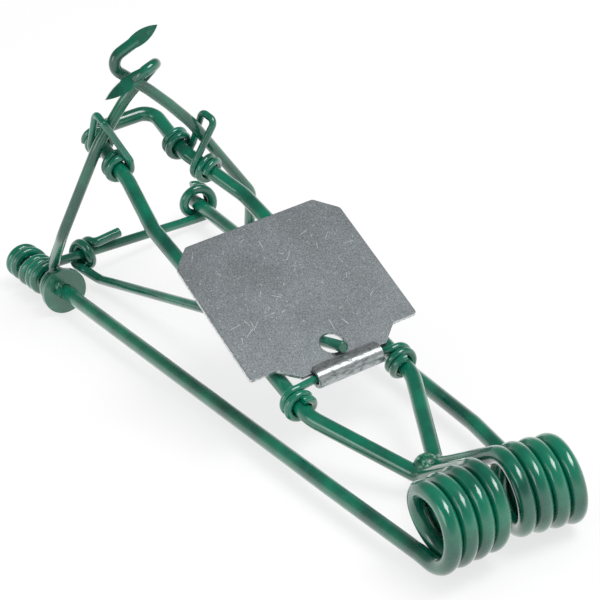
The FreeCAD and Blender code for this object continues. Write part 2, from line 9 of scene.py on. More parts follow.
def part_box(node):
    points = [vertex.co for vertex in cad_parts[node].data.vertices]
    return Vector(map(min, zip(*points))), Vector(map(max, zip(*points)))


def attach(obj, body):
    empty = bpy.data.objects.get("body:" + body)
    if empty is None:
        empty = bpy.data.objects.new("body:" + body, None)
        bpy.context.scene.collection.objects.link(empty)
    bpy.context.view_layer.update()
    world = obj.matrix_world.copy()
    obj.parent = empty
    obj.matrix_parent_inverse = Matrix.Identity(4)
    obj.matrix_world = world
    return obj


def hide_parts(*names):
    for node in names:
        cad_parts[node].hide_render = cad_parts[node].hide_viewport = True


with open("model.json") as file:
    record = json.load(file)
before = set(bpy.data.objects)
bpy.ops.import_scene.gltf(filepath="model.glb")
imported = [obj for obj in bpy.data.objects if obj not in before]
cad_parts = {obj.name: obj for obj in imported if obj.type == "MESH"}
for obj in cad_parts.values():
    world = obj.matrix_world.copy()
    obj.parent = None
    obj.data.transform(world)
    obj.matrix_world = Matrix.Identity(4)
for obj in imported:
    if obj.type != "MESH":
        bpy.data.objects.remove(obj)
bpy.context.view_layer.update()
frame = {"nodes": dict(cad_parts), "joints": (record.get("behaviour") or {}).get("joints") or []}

# A wire spring trap with two crossing jaws and a sheet-metal trigger plate, ready to be set.
# X is the rear, Y the far side and Z up. The jaws are at the front. All lengths are metres.
MM = 0.001
joints = {joint["name"]: joint for joint in frame["joints"]}


def joint_point(name):
    """A point on the joint's axis."""
    return Vector(joints[name]["pos_m"])


def joint_axis(name):
    """The joint's direction, one long."""
    return Vector(joints[name]["axis"]).normalized()


# ------------------------------------------------------------------ sizes
# the plate's flat, measured from the pin to the front and from the middle to each side
SHEET = 0.8 * MM
SHEET_LIFT = -0.39 * MM
PLATE_PITCH = math.radians(28.0)
PLATE_FRONT = 34.15 * MM
PLATE_HALF = 16.75 * MM
PLATE_CORNER = 3.65 * MM
PLATE_REAR = 4.4 * MM
PLATE_REAR_HALF = 11.9 * MM
PLATE_OFFSET = 0.9 * MM
LIP = 1.2 * MM
LIP_HALF = 8.4 * MM
CORNER_RADII = (0.35 * MM, 0.5 * MM, 0.5 * MM, 0.7 * MM, 0.7 * MM)
CORNER_STEPS = 6
SHEET_EASE = 0.16 * MM
HOLE_REACH = 5.25 * MM
HOLE_SIDE = 0.74 * MM
HOLE_RADIUS = 2.3 * MM
HOLE_STEPS = 48
# the tongue that is rolled round the pin
CURL_MIDDLE = 1.4 * MM
CURL_NEAR = 5.6 * MM
CURL_FAR = 7.4 * MM
CURL_CORNER = 0.6 * MM
CURL_EASE = 0.14 * MM
CURL_START_DEGREES = -50.0
CURL_SWEEP_DEGREES = 222.0
CURL_STEPS = 28
FREE_EDGE = 1.9 * MM
# the scratches on the plate's top
SCRATCH_LENGTH = 1.5 * MM
SCRATCH_WIDTH = 0.07 * MM
SCRATCHED_LENGTH = 25 * MM
SCRATCHED_WIDTH = 29 * MM
SCRATCHED_MIDDLE = 20.0 * MM
SCRATCH_SUNK_SHARE = 0.4
# the wire details
ROD_WIRE = 2.0 * MM
BURR_WIRE = 0.16 * MM
BURR_SHARE = 0.4
EYE_WIRE = 2.1 * MM
EYE_RADIUS = 2.7 * MM
NEAR_BLADE = 8.6 * MM
SPEAR_ZONE = 12.0 * MM
SLIMMING = 0.36
SLIMMED_THIRDS = 3
STAKE_OUT = 2.25 * MM
STAKE_BACK = 0.85 * MM
STAKE_STRETCH = 1.35
SPATTER_OUT = 1.15 * MM
SPATTER_STRETCH = 1.1
SPATTER_DROPS = 9
# faces that meet at more than this angle stay sharp, and points nearer than MERGE are one
SHARP_ANGLE = math.radians(38)
MERGE = 1e-6
# how far a face's normal agrees with the sheet's own: more is its flat, less is its edge
FLAT_SHARE = 0.999
EDGE_SHARE = 0.8


# ------------------------------------------------------------------ material helpers
def linear(code):
    """An sRGB hex colour as a linear RGBA value."""
    channels = [int(code[i:i + 2], 16) / 255 for i in (1, 3, 5)]
    return [c / 12.92 if c <= 0.04045 else ((c + 0.055) / 1.055) ** 2.4 for c in channels] + [1.0]


def add(tree, kind, settings=None, inputs=None):
    """One node, with its settings and its inputs' values or links."""
    made = tree.nodes.new(kind)
    for name, value in (settings or {}).items():
        setattr(made, name, value)
    for key, value in (inputs or {}).items():
        socket = made.inputs[key]
        if isinstance(value, bpy.types.NodeSocket):
            tree.links.new(value, socket)
        else:
            socket.default_value = value
    return made


def shades(ramp, stops):
    """Sets a colour ramp's stops from (position, colour) pairs."""
    elements = ramp.color_ramp.elements
    while len(elements) > len(stops):
        elements.remove(elements[-1])
    while len(elements) < len(stops):
        elements.new(1.0)
    for element, (position, colour) in zip(elements, stops):
        element.position = position
        element.color = colour
    return ramp.outputs["Color"]


def grey(value):
    """A plain grey of this linear value."""
    return (value, value, value, 1.0)


def blank_material(name):
    """A material with an empty node tree, and that tree."""
    material = bpy.data.materials.new(name)
    material.use_nodes = True
    tree = material.node_tree
    tree.nodes.clear()
    return material, tree


# ------------------------------------------------------------------ materials
def dipped_coating(name, deep, mid, worn, wear):
    """Green lacquer that drawn spring wire was dipped in after bending.

    It is glossy and deep. Its colour drifts over about 9 mm. It runs thin and pale on rubbed
    spots about 4 mm across, the more so the lower wear is. Its slight orange peel is about
    1.1 mm across, which is drawn a little coarser than real, so that it shows.
    """
    material, tree = blank_material(name)
    place = add(tree, "ShaderNodeTexCoord").outputs["Object"]
    drift = add(tree, "ShaderNodeTexNoise", None,
                {"Vector": place, "Scale": 0.11 / MM, "Detail": 3.0, "Roughness": 0.55})
    body = shades(add(tree, "ShaderNodeValToRGB", None, {"Fac": drift.outputs["Fac"]}),
                  [(0.36, linear(deep)), (0.62, linear(mid))])
    patches = add(tree, "ShaderNodeTexNoise", None,
                  {"Vector": place, "Scale": 0.26 / MM, "Detail": 6.0, "Roughness": 0.72})
    rubbed = shades(add(tree, "ShaderNodeValToRGB", None, {"Fac": patches.outputs["Fac"]}),
                    [(wear, grey(0.0)), (wear + 0.1, grey(0.55))])
    colour = add(tree, "ShaderNodeMix", {"data_type": "RGBA"},
                 {"Factor": rubbed, "A": body, "B": linear(worn)}).outputs["Result"]
    gloss = add(tree, "ShaderNodeMapRange", None,
                {"Value": patches.outputs["Fac"], "From Min": 0.35, "From Max": 0.8,
                 "To Min": 0.17, "To Max": 0.42}).outputs["Result"]
    peel = add(tree, "ShaderNodeTexNoise", None,
               {"Vector": place, "Scale": 0.9 / MM, "Detail": 2.0, "Roughness": 0.5})
    bump = add(tree, "ShaderNodeBump", None,
               {"Strength": 0.16, "Distance": 0.12 * MM, "Height": peel.outputs["Fac"]})
    surface = add(tree, "ShaderNodeBsdfPrincipled", None,
                  {"Base Color": colour, "Roughness": gloss, "IOR": 1.52,
                   "Coat Weight": 1.0, "Coat Roughness": 0.1, "Normal": bump.outputs["Normal"]})
    add(tree, "ShaderNodeOutputMaterial", None, {"Surface": surface.outputs["BSDF"]})
    return material


def galvanised_sheet(name):
    """Zinc-coated steel sheet, rolled flat.

    The skin is dull grey. Its dark and light speckle is about 0.24 mm across, and a soft cloud
    over it about 8 mm. Short thin scratches from handling lie in three directions, about 7 mm
    long and 0.3 mm wide, some bright and some dark.
    """
    material, tree = blank_material(name)
    place = add(tree, "ShaderNodeTexCoord").outputs["Object"]
    speckle = add(tree, "ShaderNodeTexNoise", None,
                  {"Vector": place, "Scale": 4.2 / MM, "Detail": 2.0, "Roughness": 0.6})
    skin = shades(add(tree, "ShaderNodeValToRGB", None, {"Fac": speckle.outputs["Fac"]}),
                  [(0.3, linear("#646B6E")), (0.5, linear("#83898C")), (0.72, linear("#A0A6A8"))])
    cloud = add(tree, "ShaderNodeTexNoise", None,
                {"Vector": place, "Scale": 0.12 / MM, "Detail": 3.0, "Roughness": 0.5})
    tone = shades(add(tree, "ShaderNodeValToRGB", None, {"Fac": cloud.outputs["Fac"]}),
                  [(0.3, grey(0.82)), (0.7, grey(1.0))])
    colour = add(tree, "ShaderNodeMix", {"data_type": "RGBA", "blend_type": "MULTIPLY"},
                 {"Factor": 1.0, "A": skin, "B": tone}).outputs["Result"]
    # the scratches are the thin crests of a long, narrow noise, laid three ways
    along_mark = 0.14 / MM
    for turn, stretch, threshold, shade in (
            (0.6, 22.5, 0.715, "#C4C9CA"), (1.9, 27.5, 0.72, "#BCC1C3"), (2.7, 23.75, 0.735, "#4F5557")):
        across_mark = along_mark * stretch
        laid = add(tree, "ShaderNodeMapping", None,
                   {"Vector": place, "Rotation": (0.5, 0.9, turn),
                    "Scale": (along_mark, across_mark, across_mark)})
        grain = add(tree, "ShaderNodeTexNoise", None,
                    {"Vector": laid.outputs["Vector"], "Scale": 1.0, "Detail": 1.0, "Roughness": 0.4})
        line = shades(add(tree, "ShaderNodeValToRGB", None, {"Fac": grain.outputs["Fac"]}),
                      [(threshold, grey(0.0)), (threshold + 0.03, grey(0.55))])
        colour = add(tree, "ShaderNodeMix", {"data_type": "RGBA"},
                     {"Factor": line, "A": colour, "B": linear(shade)}).outputs["Result"]
    gloss = add(tree, "ShaderNodeMapRange", None,
                {"Value": speckle.outputs["Fac"], "From Min": 0.3, "From Max": 0.7,
                 "To Min": 0.36, "To Max": 0.52}).outputs["Result"]
    bump = add(tree, "ShaderNodeBump", None,
               {"Strength": 0.2, "Distance": 0.05 * MM, "Height": speckle.outputs["Fac"]})
    surface = add(tree, "ShaderNodeBsdfPrincipled", None,
                  {"Base Color": colour, "Metallic": 0.75, "Roughness": gloss,
                   "Normal": bump.outputs["Normal"]})
    add(tree, "ShaderNodeOutputMaterial", None, {"Surface": surface.outputs["BSDF"]})
    return material


def curl_with_painted_highlight(name):
    """The same zinc, drawn a lighter silver than the flat sheet: that lightness is a painted highlight
    for the light the roll's curve catches.

    It is also a smoother silver, with dark mottled drag marks about 0.5 mm wide and 1.1 mm long that
    run along the roll.
    """
    material, tree = blank_material(name)
    place = add(tree, "ShaderNodeTexCoord").outputs["Object"]
    laid = add(tree, "ShaderNodeMapping", None,
               {"Vector": place, "Scale": (1.9 / MM, 0.9 / MM, 1.9 / MM)})
    drag = add(tree, "ShaderNodeTexNoise", None,
               {"Vector": laid.outputs["Vector"], "Scale": 1.0, "Detail": 4.0, "Roughness": 0.65})
    colour = shades(add(tree, "ShaderNodeValToRGB", None, {"Fac": drag.outputs["Fac"]}),
                    [(0.34, linear("#70777A")), (0.46, linear("#A4A9AB")), (0.66, linear("#C2C7C8"))])
    gloss = add(tree, "ShaderNodeMapRange", None,
                {"Value": drag.outputs["Fac"], "From Min": 0.3, "From Max": 0.7,
                 "To Min": 0.46, "To Max": 0.26}).outputs["Result"]
    bump = add(tree, "ShaderNodeBump", None,
               {"Strength": 0.15, "Distance": 0.05 * MM, "Height": drag.outputs["Fac"]})
    surface = add(tree, "ShaderNodeBsdfPrincipled", None,
                  {"Base Color": colour, "Metallic": 0.85, "Roughness": gloss,
                   "Normal": bump.outputs["Normal"]})
    add(tree, "ShaderNodeOutputMaterial", None, {"Surface": surface.outputs["BSDF"]})
    return material


def sheared_edge(name, drag_shade, bare_shade):
    """Steel bared by a shear or a scratch, with drag marks about 0.6 mm across.

    The eye reads it as a thin line of bare metal, brighter or darker than the skin round it. In its
    near-white shades on the plate's rim it is partly a painted highlight along the sheet's edge.
    """
    material, tree = blank_material(name)
    place = add(tree, "ShaderNodeTexCoord").outputs["Object"]
    drag = add(tree, "ShaderNodeTexNoise", None,
               {"Vector": place, "Scale": 1.8 / MM, "Detail": 3.0, "Roughness": 0.6})
    colour = shades(add(tree, "ShaderNodeValToRGB", None, {"Fac": drag.outputs["Fac"]}),
                    [(0.32, linear(drag_shade)), (0.6, linear(bare_shade))])
    surface = add(tree, "ShaderNodeBsdfPrincipled", None,
                  {"Base Color": colour, "Metallic": 0.8, "Roughness": 0.34})
    add(tree, "ShaderNodeOutputMaterial", None, {"Surface": surface.outputs["BSDF"]})
    return material


def coated_weld(name):
    """Weld metal under the same lacquer.

    It has lumps about 0.9 mm across, pinholes and pale spots, which the eye reads as rough.
    """
    material, tree = blank_material(name)
    place = add(tree, "ShaderNodeTexCoord").outputs["Object"]
    lumps = add(tree, "ShaderNodeTexNoise", None,
                {"Vector": place, "Scale": 1.1 / MM, "Detail": 4.0, "Roughness": 0.65})
    colour = shades(add(tree, "ShaderNodeValToRGB", None, {"Fac": lumps.outputs["Fac"]}),
                    [(0.36, linear("#06382B")), (0.55, linear("#0D6B4F")), (0.68, linear("#8FB7A0"))])
    bump = add(tree, "ShaderNodeBump", None,
               {"Strength": 0.7, "Distance": 0.3 * MM, "Height": lumps.outputs["Fac"]})
    surface = add(tree, "ShaderNodeBsdfPrincipled", None,
                  {"Base Color": colour, "Roughness": 0.24, "IOR": 1.52,
                   "Coat Weight": 0.5, "Coat Roughness": 0.08, "Normal": bump.outputs["Normal"]})
    add(tree, "ShaderNodeOutputMaterial", None, {"Surface": surface.outputs["BSDF"]})
    return material


def matt_paper(name):
    """A seamless white paper sweep under the object.

    The eye reads it as plain white. The camera sees part of it glow, and the rest of it, which
    is lit as paper, keeps the object's soft shadow.
    """
    material, tree = blank_material(name)
    glow_seen = 0.72
    path = add(tree, "ShaderNodeLightPath")
    mirrored = add(tree, "ShaderNodeMath", {"operation": "MAXIMUM"},
                   {0: path.outputs["Is Glossy Ray"], 1: path.outputs["Is Transmission Ray"]}).outputs[0]
    faced = add(tree, "ShaderNodeMath", {"operation": "MULTIPLY"},
                {0: path.outputs["Is Camera Ray"], 1: glow_seen}).outputs[0]
    plain = add(tree, "ShaderNodeMath", {"operation": "MAXIMUM"}, {0: mirrored, 1: faced}).outputs[0]
    paper = add(tree, "ShaderNodeBsdfDiffuse", None, {"Color": linear("#F4F4F4")})
    glow = add(tree, "ShaderNodeEmission", None, {"Color": linear("#FFFFFF"), "Strength": 1.0})
    surface = add(tree, "ShaderNodeMixShader", None,
                  {"Fac": plain, 1: paper.outputs["BSDF"], 2: glow.outputs["Emission"]})
    add(tree, "ShaderNodeOutputMaterial", None, {"Surface": surface.outputs["Shader"]})
    return material


spring_coating = dipped_coating("green_lacquer_on_spring_wire", "#004C3C", "#007055", "#86A898", 0.69)
thin_coating = dipped_coating("green_lacquer_on_thin_wire", "#00523F", "#00735A", "#8FB8A2", 0.66)
jaw_coating = dipped_coating("green_lacquer_on_jaw_wire", "#004A39", "#016A51", "#9AA59E", 0.63)
washer_coating = dipped_coating("green_lacquer_on_washer", "#0F5D48", "#34745F", "#8FB29F", 0.6)
zinc = galvanised_sheet("galvanised_steel_sheet")
# bare steel for the plate's rim and its bright scratches; its near-white on the rim is also a painted
# highlight along the edge
bright_steel_and_rim_highlight = sheared_edge("bare_steel_and_painted_rim_highlight", "#9BA0A2", "#DDE0E1")
# the rolled curl is a lighter silver than the flat, and that lightness is a painted highlight on the
# roll
painted_highlight_curl = curl_with_painted_highlight("zinc_curl_with_painted_highlight")
dark_score = sheared_edge("scored_dark_zinc", "#3E4446", "#666C6E")
weld_coating = coated_weld("green_lacquer_on_weld")

for finish, nodes in (
        (spring_coating, ("near_coil", "far_coil", "near_lower_arm", "far_lower_arm",
                          "near_frame_leg", "far_frame_leg", "near_upper_arm", "far_upper_arm",
                          "front_bow")),
        (thin_coating, ("crossbar_near_coils", "crossbar", "crossbar_far_ring", "near_keeper",
                        "far_keeper", "hinge_wire", "trigger_rod")),
        (jaw_coating, ("near_jaw", "far_jaw")),
        (washer_coating, ("near_washer", "far_washer")),
        (weld_coating, ("weld_bead",)),
        (zinc, ("trigger_plate",))):
    for node in nodes:
        for slot in frame["nodes"][node].material_slots:
            slot.material = finish


# ------------------------------------------------------------------ piece helpers
def piece(name, build, body, finishes):
    """A mesh object at the origin, riding on a body."""
    mesh = bpy.data.meshes.new(name)
    build.to_mesh(mesh)
    build.free()
    thing = bpy.data.objects.new(name, mesh)
    bpy.context.scene.collection.objects.link(thing)
    for finish in finishes:
        mesh.materials.append(finish)
    for face in mesh.polygons:
        face.use_smooth = True
    mesh.set_sharp_from_angle(angle=SHARP_ANGLE)
    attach(thing, body)
    return thing


def tree_with(name, sizes):
    """An empty geometry tree with one named input for each size, and its input node."""
    tree = bpy.data.node_groups.new(name, "GeometryNodeTree")
    tree.interface.new_socket("Geometry", in_out="OUTPUT", socket_type="NodeSocketGeometry")
    for label, value in sizes.items():
        kind = "NodeSocketInt" if isinstance(value, int) else "NodeSocketFloat"
        tree.interface.new_socket(label, in_out="INPUT", socket_type=kind)
    return tree, add(tree, "NodeGroupInput").outputs


def close_tree(tree, geometry, finish):
    """Ends a geometry tree with plain geometry in one finish."""
    real = add(tree, "GeometryNodeRealizeInstances", None, {"Geometry": geometry})
    done = add(tree, "GeometryNodeSetMaterial", None,
               {"Geometry": real.outputs["Geometry"], "Material": finish})
    add(tree, "NodeGroupOutput", None, {"Geometry": done.outputs["Geometry"]})


def grown(tree, sizes):
    """The result of a geometry tree at these sizes, as an editable mesh."""
    holder = bpy.data.objects.new(tree.name, bpy.data.meshes.new(tree.name))
    bpy.context.scene.collection.objects.link(holder)
    modifier = holder.modifiers.new(tree.name, "NODES")
    modifier.node_group = tree
    for item in tree.interface.items_tree:
        if item.in_out == "INPUT":
            modifier[item.identifier] = sizes[item.name]
    bpy.context.view_layer.update()
    depsgraph = bpy.context.evaluated_depsgraph_get()
    mesh = bpy.data.meshes.new_from_object(holder.evaluated_get(depsgraph), depsgraph=depsgraph)
    bpy.data.objects.remove(holder)
    build = bmesh.new()
    build.from_mesh(mesh)
    return build


def wound_ring(sizes, finish):
    """Round wire bent into a closed ring about Z."""
    tree, size = tree_with("wound_ring", sizes)
    steps_round = 64
    steps_across = 20
    ring = add(tree, "GeometryNodeCurvePrimitiveCircle", None,
               {"Resolution": steps_round, "Radius": size["Ring Radius"]})
    wire = add(tree, "GeometryNodeCurvePrimitiveCircle", None,
               {"Resolution": steps_across, "Radius": size["Wire Radius"]})
    tube = add(tree, "GeometryNodeCurveToMesh", None,
               {"Curve": ring.outputs["Curve"], "Profile Curve": wire.outputs["Curve"]})
    close_tree(tree, tube.outputs["Mesh"], finish)
    build = grown(tree, sizes)
    bmesh.ops.remove_doubles(build, verts=build.verts, dist=MERGE / 10)
    bmesh.ops.recalc_face_normals(build, faces=build.faces)
    return build


def handling_scratches(sizes, finish):
    """Thin scratches, lying every way over a rectangle in the XY plane.

    Their lengths differ, from a quarter of the given length to 1.6 times it.
    """
    shortest = 0.25
    longest = 1.6
    tree, size = tree_with("handling_scratches", sizes)
    area = add(tree, "GeometryNodeMeshGrid", None,
               {"Size X": size["Area Length"], "Size Y": size["Area Width"],
                "Vertices X": 2, "Vertices Y": 2})
    spots = add(tree, "GeometryNodeDistributePointsOnFaces", None,
                {"Mesh": area.outputs["Mesh"], "Density": size["Density"], "Seed": size["Seed"]})
    sliver_size = add(tree, "ShaderNodeCombineXYZ", None,
                      {"X": size["Length"], "Y": size["Width"], "Z": size["Width"]})
    sliver = add(tree, "GeometryNodeMeshCube", None, {"Size": sliver_size.outputs["Vector"]})
    turn = add(tree, "FunctionNodeRandomValue", {"data_type": "FLOAT"},
               {"Min": 0.0, "Max": 2 * math.pi, "Seed": size["Seed"]})
    spin = add(tree, "ShaderNodeCombineXYZ", None, {"Z": turn.outputs["Value"]})
    reach = add(tree, "FunctionNodeRandomValue", {"data_type": "FLOAT"},
                {"Min": shortest, "Max": longest, "Seed": size["Seed"]})
    stretch = add(tree, "ShaderNodeCombineXYZ", None,
                  {"X": reach.outputs["Value"], "Y": 1.0, "Z": 1.0})
    laid = add(tree, "GeometryNodeInstanceOnPoints", None,
               {"Points": spots.outputs["Points"], "Instance": sliver.outputs["Mesh"],
                "Rotation": spin.outputs["Vector"], "Scale": stretch.outputs["Vector"]})
    close_tree(tree, laid.outputs["Instances"], finish)
    return grown(tree, sizes)


# ------------------------------------------------------------------ trigger plate
# the plate's own axes: X from the pin to the front, Y to the near side, Z out of its top
hinge = joint_point("plate_swing")
along = Vector((-math.cos(PLATE_PITCH), 0, math.sin(PLATE_PITCH)))
above = Vector((math.sin(PLATE_PITCH), 0, math.cos(PLATE_PITCH)))
plate_place = Matrix((
    (along.x, 0.0, above.x, hinge.x),
    (along.y, -1.0, above.y, hinge.y),
    (along.z, 0.0, above.z, hinge.z),
    (0.0, 0.0, 0.0, 1.0)))


def rounded(points, radii):
    """The outline with an arc of its own radius at each corner."""
    outline = []
    count = len(points)
    for i, (point, radius) in enumerate(zip(points, radii)):
        here = Vector(point)
        before = (Vector(points[i - 1]) - here).normalized()
        after = (Vector(points[(i + 1) % count]) - here).normalized()
        half = before.angle(after) / 2
        cut = radius / math.tan(half)
        middle = here + (before + after).normalized() * (radius / math.sin(half))
        start = here + before * cut - middle
        end = here + after * cut - middle
        sweep = start.angle(end)
        turn = 1 if start.cross(end) > 0 else -1
        for k in range(CORNER_STEPS + 1):
            outline.append(middle + Matrix.Rotation(turn * sweep * k / CORNER_STEPS, 2) @ start)
    return outline


def plate_sheet():
    """The flat of the plate, with its hole and eased edges, as a mesh."""
    side = -PLATE_OFFSET
    half = [
        (LIP, LIP_HALF), (PLATE_REAR, PLATE_REAR_HALF), (PLATE_REAR, PLATE_HALF),
        (PLATE_FRONT - PLATE_CORNER, PLATE_HALF), (PLATE_FRONT, PLATE_HALF - PLATE_CORNER)]
    points = [(u, v + side) for u, v in half] + [(u, side - v) for u, v in reversed(half)]
    radii = CORNER_RADII + CORNER_RADII[::-1]
    curve = bpy.data.curves.new("plate_outline", "CURVE")
    curve.dimensions = "2D"
    curve.fill_mode = "BOTH"
    curve.extrude = SHEET / 2 - SHEET_EASE
    curve.bevel_depth = SHEET_EASE
    curve.bevel_resolution = 3
    hole = [Vector((HOLE_REACH + HOLE_RADIUS * math.cos(a), -HOLE_SIDE + HOLE_RADIUS * math.sin(a)))
            for a in (2 * math.pi * k / HOLE_STEPS for k in range(HOLE_STEPS))]
    for loop in (rounded(points, radii), hole):
        spline = curve.splines.new("POLY")
        spline.points.add(len(loop) - 1)
        for dot, here in zip(spline.points, loop):
            dot.co = (here.x, here.y, 0.0, 1.0)
        spline.use_cyclic_u = True
    flat = bpy.data.objects.new("plate_outline", curve)
    bpy.context.scene.collection.objects.link(flat)
    bpy.context.view_layer.update()
    depsgraph = bpy.context.evaluated_depsgraph_get()
    mesh = bpy.data.meshes.new_from_object(flat.evaluated_get(depsgraph))
    bpy.data.objects.remove(flat)
    mesh.transform(Matrix.Translation((0, 0, SHEET_LIFT + SHEET / 2)))
    return mesh


def curl_path():
    """The strap's middle line from the plate, under and behind the pin, to its free edge."""
    level = SHEET_LIFT + SHEET / 2
    # three points lead from inside the sheet down to the roll
    path = [Vector((3.0 * MM, level)), Vector((2.3 * MM, level - 0.12 * MM)),
            Vector((1.7 * MM, level - 0.55 * MM))]
    for k in range(CURL_STEPS + 1):
        a = math.radians(CURL_START_DEGREES - CURL_SWEEP_DEGREES * k / CURL_STEPS)
        path.append(Vector((math.cos(a), math.sin(a))) * CURL_MIDDLE)
    # the last four lie down on the sheet's top, the free edge a little into it
    path.append(Vector((0.75 * MM, CURL_MIDDLE - 0.06 * MM)))
    path.append(Vector((FREE_EDGE - CURL_CORNER, level + SHEET * 1.12)))
    path.append(Vector((FREE_EDGE - CURL_CORNER / 4, level + SHEET)))
    path.append(Vector((FREE_EDGE, level + SHEET * 0.97)))
    return path


def curl_strap(build):
    """The tongue rolled round the pin; its free edge, with rounded corners, lies on the plate."""
    path = curl_path()
    half = SHEET / 2
    ease = CURL_EASE
    # how far the last two rows are drawn in at the sides, for the rounded corners
    pulls = {len(path) - 2: 0.2 * MM, len(path) - 1: CURL_CORNER}
    rows = []
    for i, here in enumerate(path):
        way = (path[min(i + 1, len(path) - 1)] - path[max(i - 1, 0)]).normalized()
        out = Vector((-way.y, way.x))
        near = CURL_NEAR - pulls.get(i, 0.0)
        far = pulls.get(i, 0.0) - CURL_FAR
        corners = ((near - ease, half), (near, half - ease), (near, ease - half), (near - ease, -half),
                   (far + ease, -half), (far, ease - half), (far, half - ease), (far + ease, half))
        row = []
        for v, w in corners:
            spot = here + out * w
            row.append(build.verts.new((spot.x, v, spot.y)))
        rows.append(row)
    for first, second in zip(rows, rows[1:]):
        for j in range(len(first)):
            k = (j + 1) % len(first)
            build.faces.new((first[j], first[k], second[k], second[j]))
    build.faces.new(rows[0])
    build.faces.new(rows[-1][::-1])


plate_build = bmesh.new()
plate_build.from_mesh(plate_sheet())
bmesh.ops.remove_doubles(plate_build, verts=plate_build.verts, dist=MERGE)
flat_faces = len(plate_build.faces)
curl_strap(plate_build)
bmesh.ops.recalc_face_normals(plate_build, faces=plate_build.faces)
plate_build.faces.ensure_lookup_table()
PLATE_FINISHES = [zinc, bright_steel_and_rim_highlight, painted_highlight_curl]
# the rolled strap takes the lighter silver, a painted highlight on the curl
for face in plate_build.faces[flat_faces:]:
    face.material_index = PLATE_FINISHES.index(painted_highlight_curl)
# the rim's faces take the near-white steel, partly a painted highlight along the sheet's edge; the rest
# is zinc
for face in plate_build.faces[:flat_faces]:
    middle = face.calc_center_median()
    on_edge = abs(face.normal.z) < EDGE_SHARE and middle.x > FREE_EDGE and abs(middle.z) < SHEET
    face.material_index = PLATE_FINISHES.index(bright_steel_and_rim_highlight if on_edge else zinc)
plate_build.transform(plate_place)
plate = piece("pressed_plate_with_rolled_curl", plate_build, "plate", PLATE_FINISHES)
# the sheet's two faces are flat, and are shaded flat
for face in plate.data.polygons:
    if face.material_index == PLATE_FINISHES.index(zinc) and abs(face.normal.dot(above)) > FLAT_SHARE:
        face.use_smooth = False
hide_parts("trigger_plate")

# scratches that handling has left on the plate's top, most of them bright and a few dark
for shade, finish, per_square_metre, seed in (
        ("bright", bright_steel_and_rim_highlight, 4.6e4, 11), ("dark", dark_score, 0.9e4, 5)):
    marks = handling_scratches(
        {"Area Length": SCRATCHED_LENGTH, "Area Width": SCRATCHED_WIDTH,
         "Density": per_square_metre, "Seed": seed,
         "Length": SCRATCH_LENGTH, "Width": SCRATCH_WIDTH}, finish)
    top = SHEET_LIFT + SHEET - SCRATCH_WIDTH * SCRATCH_SUNK_SHARE
    marks.transform(plate_place @ Matrix.Translation((SCRATCHED_MIDDLE, -PLATE_OFFSET, top)))
    piece("plate_scratches_" + shade, marks, "plate", [finish])


# ------------------------------------------------------------------ wire details
def forged_spear(name, outward, blade_length, slimming):
    """The jaw with its flattened point, the part farthest outward at its top, drawn slimmer."""
    build = bmesh.new()
    build.from_mesh(frame["nodes"][name].data)
    bmesh.ops.remove_doubles(build, verts=build.verts, dist=MERGE)
    top = max(vert.co.z for vert in build.verts)
    high = [vert for vert in build.verts if vert.co.z > top - SPEAR_ZONE]
    tip = max(high, key=lambda vert: outward * vert.co.y).co.copy()
    blade = [vert for vert in build.verts if (vert.co - tip).length < blade_length]
    middle = sum((vert.co for vert in blade), Vector()) / len(blade)
    long_way = (middle - tip).normalized()

    def off_axis(vert):
        return (vert.co - tip) - long_way * (vert.co - tip).dot(long_way)

    wide_way = off_axis(max(blade, key=lambda vert: off_axis(vert).length)).normalized()
    # the slimming fades out over the last third of the blade, where the round wire begins
    for vert in blade:
        reach = (vert.co - tip).dot(long_way) / blade_length
        share = min(1.0, max(0.0, (1.0 - reach) * SLIMMED_THIRDS))
        off_line = (vert.co - tip).dot(wide_way)
        vert.co -= wide_way * (off_line * slimming * share)
    spear = piece(name + "_forged", build, name, [jaw_coating])
    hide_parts(name)


forged_spear("near_jaw", -1, NEAR_BLADE, SLIMMING)

# each jaw's foot is a round eye, loose on its lower arm
for side in ("near", "far"):
    foot = joint_point(side + "_jaw_swing")
    eye = wound_ring({"Ring Radius": EYE_RADIUS, "Wire Radius": EYE_WIRE / 2}, jaw_coating)
    facing = joint_axis(side + "_jaw_swing").to_track_quat("Z", "Y").to_matrix().to_4x4()
    eye.transform(Matrix.Translation(foot) @ facing)
    piece(side + "_jaw_wound_eye", eye, side + "_jaw", [jaw_coating])


def lump(build, centre, size, way, stretch, seed):
    """A small lump of metal: a fine ball, drawn out one way and made uneven."""
    unevenness = 0.28
    waves = 1.4
    made = bmesh.ops.create_icosphere(build, subdivisions=3, radius=size)["verts"]
    for vert in made:
        offset = Vector(vert.co)
        bump = 1 + unevenness * noise.noise(offset / size * waves + Vector((seed, 0, seed)))
        offset = offset * bump + way * (offset.dot(way) * (stretch - 1))
        vert.co = centre + offset


# the near washer's two staked lumps, squeezed out of the flattened arm beside it
washer_low, washer_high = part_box("near_washer")
washer_middle = (Vector(washer_low) + Vector(washer_high)) / 2
arm_way = -joint_axis("near_jaw_swing")
up_way = (Vector((0, 0, 1)) - arm_way * arm_way.z).normalized()
stake_build = bmesh.new()
for turn, size, seed in ((35, 0.72 * MM, 3.0), (-150, 0.68 * MM, 8.0)):
    out_way = Matrix.Rotation(math.radians(turn), 3, arm_way) @ up_way
    centre = washer_middle + out_way * STAKE_OUT + arm_way * STAKE_BACK
    lump(stake_build, centre, size, out_way, STAKE_STRETCH, seed)
piece("near_washer_stakes", stake_build, "lower_frame", [washer_coating])

